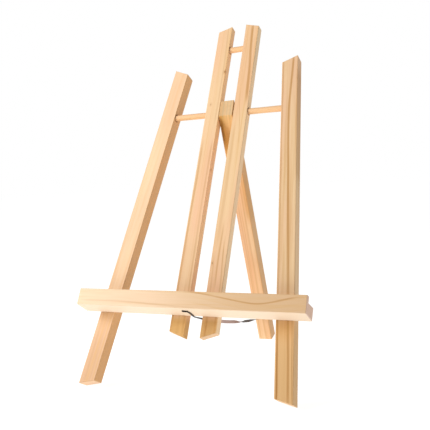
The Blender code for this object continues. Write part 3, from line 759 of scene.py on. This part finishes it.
def tape_section(depth):
    """Half the tape's width and thickness at a depth: gathered near the tray, then spread out."""
    share = min(max((depth - GATHER_DEPTHS[0]) / (GATHER_DEPTHS[1] - GATHER_DEPTHS[0]), 0.0), 1.0)
    share = share * share * (3 - 2 * share)
    width = GATHER_WIDTH + (TAPE_WIDTH - GATHER_WIDTH) * share
    return width / 2, (GATHER_THICKNESS + (TAPE_THICKNESS - GATHER_THICKNESS) * share) / 2


def tape_rings(line):
    """The tape's section at each point of its line, and the length of tape up to each."""
    rings = []
    along = [0.0]
    for index, point in enumerate(line):
        before, after = line[max(index - 1, 0)], line[min(index + 1, len(line) - 1)]
        ahead = (after - before).normalized()
        # under the tray the line turns in the tray's plane, and beyond it in the frame's depth
        level = ahead.cross(Vector((0, 0, 1))) if point.y < 0 else Vector((1, 0, 0))
        level = (level - ahead * level.dot(ahead)).normalized()
        rise = level.cross(ahead)
        turn = tape_twist(point.y)
        half_width, half_thickness = tape_section(point.y)
        aside = (level * math.cos(turn) + rise * math.sin(turn)) * half_width
        up = (rise * math.cos(turn) - level * math.sin(turn)) * half_thickness
        rings.append((point, aside, up))
        if index:
            along.append(along[-1] + (point - line[index - 1]).length)
    return rings, along


def tape_outline():
    """The tape's flat section, thinnest at its two edges."""
    outline = []
    for side in range(TAPE_SIDES):
        angle = math.tau * (side + 0.5) / TAPE_SIDES
        outline.append((math.cos(angle), math.copysign(abs(math.sin(angle)) ** 0.5, math.sin(angle))))
    return outline


def unroll(bm, outline, along):
    """UVs of the tape: 0 to 1 across its front, 1 to 2 across its back, and metres along it."""
    bm.verts.index_update()
    layer = bm.loops.layers.uv.new("ribbon")
    for face in bm.faces:
        columns = [vert.index % TAPE_SIDES for vert in face.verts]
        under = min(columns) >= TAPE_SIDES // 2 - 1
        for corner in face.loops:
            row, column = divmod(corner.vert.index, TAPE_SIDES)
            share = (outline[column][0] / 2 + 0.5) * (1 - 2 * UV_MARGIN) + UV_MARGIN
            corner[layer].uv = (share + (1.0 if under else 0.0), along[row])


def stay_tape():
    line = tape_points()
    rings, along = tape_rings(line)
    outline = tape_outline()
    bm = sweep(rings, outline)
    bm.transform(LEAN)
    unroll(bm, outline, along)
    item = new_piece("satin_stay_tape", bm)
    item.data.materials.append(satin())
    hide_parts("stay_tape")
    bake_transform(item)


stay_tape()


# ---------------------------------------------------------------- staples and brads
STEEL_SPOT = linear(84, 66, 50)
PATCH_STEP, SPOT_STEP = (0.4, 0.7), (0.58, 0.75, 0.0, 0.5)
PATCH_CELLS, PATCH_DETAIL = 260, 2       # cells for each metre
SPOT_CELLS, SPOT_DETAIL, SPOT_FINENESS = 900, 3, 0.6
STEEL_ROUGHNESS, SPOT_ROUGHNESS = 0.22, 0.3
STEEL_RELIEF, STEEL_BUMP = 0.00002, 0.5


def steel_wire(name, bright, dull, scale=1.0):
    """Drawn steel wire between two tones, with small brown spots."""
    graph = Graph(name)
    coordinates = graph.node("TexCoord")
    where = coordinates.outputs["Object"]
    spots = graph.noise(where, SPOT_CELLS * scale, SPOT_DETAIL, SPOT_FINENESS)
    patches = graph.noise(where, PATCH_CELLS * scale, PATCH_DETAIL)
    colour = graph.mix(graph.ramp(patches, *PATCH_STEP), bright, dull)
    graph.paint("Base Color", graph.mix(graph.ramp(spots, *SPOT_STEP), colour, STEEL_SPOT))
    graph.paint("Metallic", 1.0)
    graph.paint("Roughness", graph.math("MULTIPLY_ADD", spots, SPOT_ROUGHNESS, STEEL_ROUGHNESS))
    graph.bump(graph.math("ADD", spots, patches), STEEL_RELIEF, STEEL_BUMP)
    return graph.material


def bent_wire(points):
    """A wire through points in the xy plane, with rounded bends."""
    line = [points[0]]
    for before, corner, after in zip(points, points[1:], points[2:]):
        first = corner + (before - corner).normalized() * STAPLE_BEND
        last = corner + (after - corner).normalized() * STAPLE_BEND
        for step in range(WIRE_BEND_STEPS + 1):
            share = step / WIRE_BEND_STEPS
            line.append(first.lerp(corner, share).lerp(corner.lerp(last, share), share))
    line.append(points[-1])
    rings = []
    normal = Vector((0, 0, 1))
    for index, point in enumerate(line):
        ahead = (line[min(index + 1, len(line) - 1)] - line[max(index - 1, 0)]).normalized()
        rings.append((point, normal * STAPLE_RADIUS, normal.cross(ahead) * STAPLE_RADIUS))
    return sweep(rings, circle(WIRE_SIDES))


def staple(name, node, body, place, material):
    """A fine wire staple: its crown lies across the tape, and its prongs run into the wood."""
    half = STAPLE_SPAN / 2 - STAPLE_RADIUS
    bm = bent_wire([Vector((-half, -STAPLE_PRONG, 0)), Vector((-half, 0, 0)), Vector((half, 0, 0)),
                    Vector((half, -STAPLE_PRONG, 0))])
    bm.transform(place)
    item = new_piece(name, bm)
    item.data.materials.append(material)
    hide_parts(node)
    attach(item, body)


def finish_metal():
    steel = steel_wire("blackened_staple_steel", linear(74, 66, 60), linear(48, 40, 36))
    crown = TAPE_LIFT + GATHER_THICKNESS / 2 + STAPLE_RADIUS
    front_x, front_depth = FRONT_STAPLE
    front = LEAN @ Matrix.Translation((front_x, front_depth, under_tray(front_depth) - crown))
    prongs_up = Matrix.Rotation(math.radians(-90), 4, "X")
    staple("front_staple_wire", "front_staple", "frame", front @ prongs_up, steel)
    low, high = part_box("rear_staple")
    middle = REAR_LEG.inverted() @ ((Vector(low) + Vector(high)) / 2)
    crown = TAPE_LIFT + TAPE_THICKNESS / 2 + STAPLE_RADIUS
    rear = REAR_LEG @ Matrix.Translation((middle.x, -REAR_THICKNESS / 2 - crown, middle.z))
    prongs_back = Matrix.Rotation(math.pi, 4, "X")
    staple("rear_staple_wire", "rear_staple", "rear_leg", rear @ prongs_back, steel)
    brads = steel_wire("brad_steel", linear(188, 184, 178), linear(150, 144, 134), 1.6)
    for label in ("left_leg", "right_leg", "left_upright", "right_upright"):
        coat(label + "_brad", brads)


finish_metal()


# ---------------------------------------------------------------- stage
def place_camera(scene):
    camera = bpy.data.cameras.new("camera")
    camera.lens = CAMERA_LENS
    camera.sensor_width = SENSOR
    view = bpy.data.objects.new("camera", camera)
    view.location = CAMERA_PLACE
    view.rotation_euler = CAMERA_TURN
    scene.collection.objects.link(view)
    scene.camera = view


def light_room(scene):
    """White as the camera sees it, and a dimmer light on the object."""
    world = bpy.data.worlds.new("studio")
    world.use_nodes = True
    tree = world.node_tree
    seen = tree.nodes["Background"]
    seen.inputs["Color"].default_value = WHITE
    seen.inputs["Strength"].default_value = 1.0
    room = tree.nodes.new("ShaderNodeBackground")
    room.inputs["Color"].default_value = WHITE
    room.inputs["Strength"].default_value = ROOM_LIGHT
    path = tree.nodes.new("ShaderNodeLightPath")
    choose = tree.nodes.new("ShaderNodeMixShader")
    tree.links.new(path.outputs["Is Camera Ray"], choose.inputs[0])
    tree.links.new(room.outputs[0], choose.inputs[1])
    tree.links.new(seen.outputs[0], choose.inputs[2])
    tree.links.new(choose.outputs[0], tree.nodes["World Output"].inputs["Surface"])
    scene.world = world


def lay_floor(scene):
    """A pale floor that glows a little, so that it is as white as the background."""
    mesh = bpy.data.meshes.new("floor")
    bm = bmesh.new()
    bmesh.ops.create_grid(bm, x_segments=1, y_segments=1, size=FLOOR_SIZE)
    bm.to_mesh(mesh)
    bm.free()
    floor = bpy.data.objects.new("floor", mesh)
    scene.collection.objects.link(floor)
    graph = Graph("pale_floor")
    graph.paint("Base Color", FLOOR_GREY)
    graph.paint("Roughness", 0.9)
    graph.paint("Specular IOR Level", 0.1)
    graph.paint("Emission Color", WHITE)
    graph.paint("Emission Strength", FLOOR_GLOW)
    floor.data.materials.append(graph.material)


def hang_lamp(scene):
    light = bpy.data.lights.new("key", "AREA")
    light.size = LAMP_SIZE
    light.energy = LAMP_POWER
    lamp = bpy.data.objects.new("key", light)
    lamp.location = LAMP_PLACE
    aim = Vector(LAMP_AIM) - Vector(LAMP_PLACE)
    lamp.rotation_euler = aim.to_track_quat("-Z", "Y").to_euler()
    scene.collection.objects.link(lamp)


def set_stage():
    scene = bpy.context.scene
    scene.view_settings.view_transform = "Standard"
    scene.view_settings.look = "None"
    place_camera(scene)
    light_room(scene)
    lay_floor(scene)
    hang_lamp(scene)


set_stage()
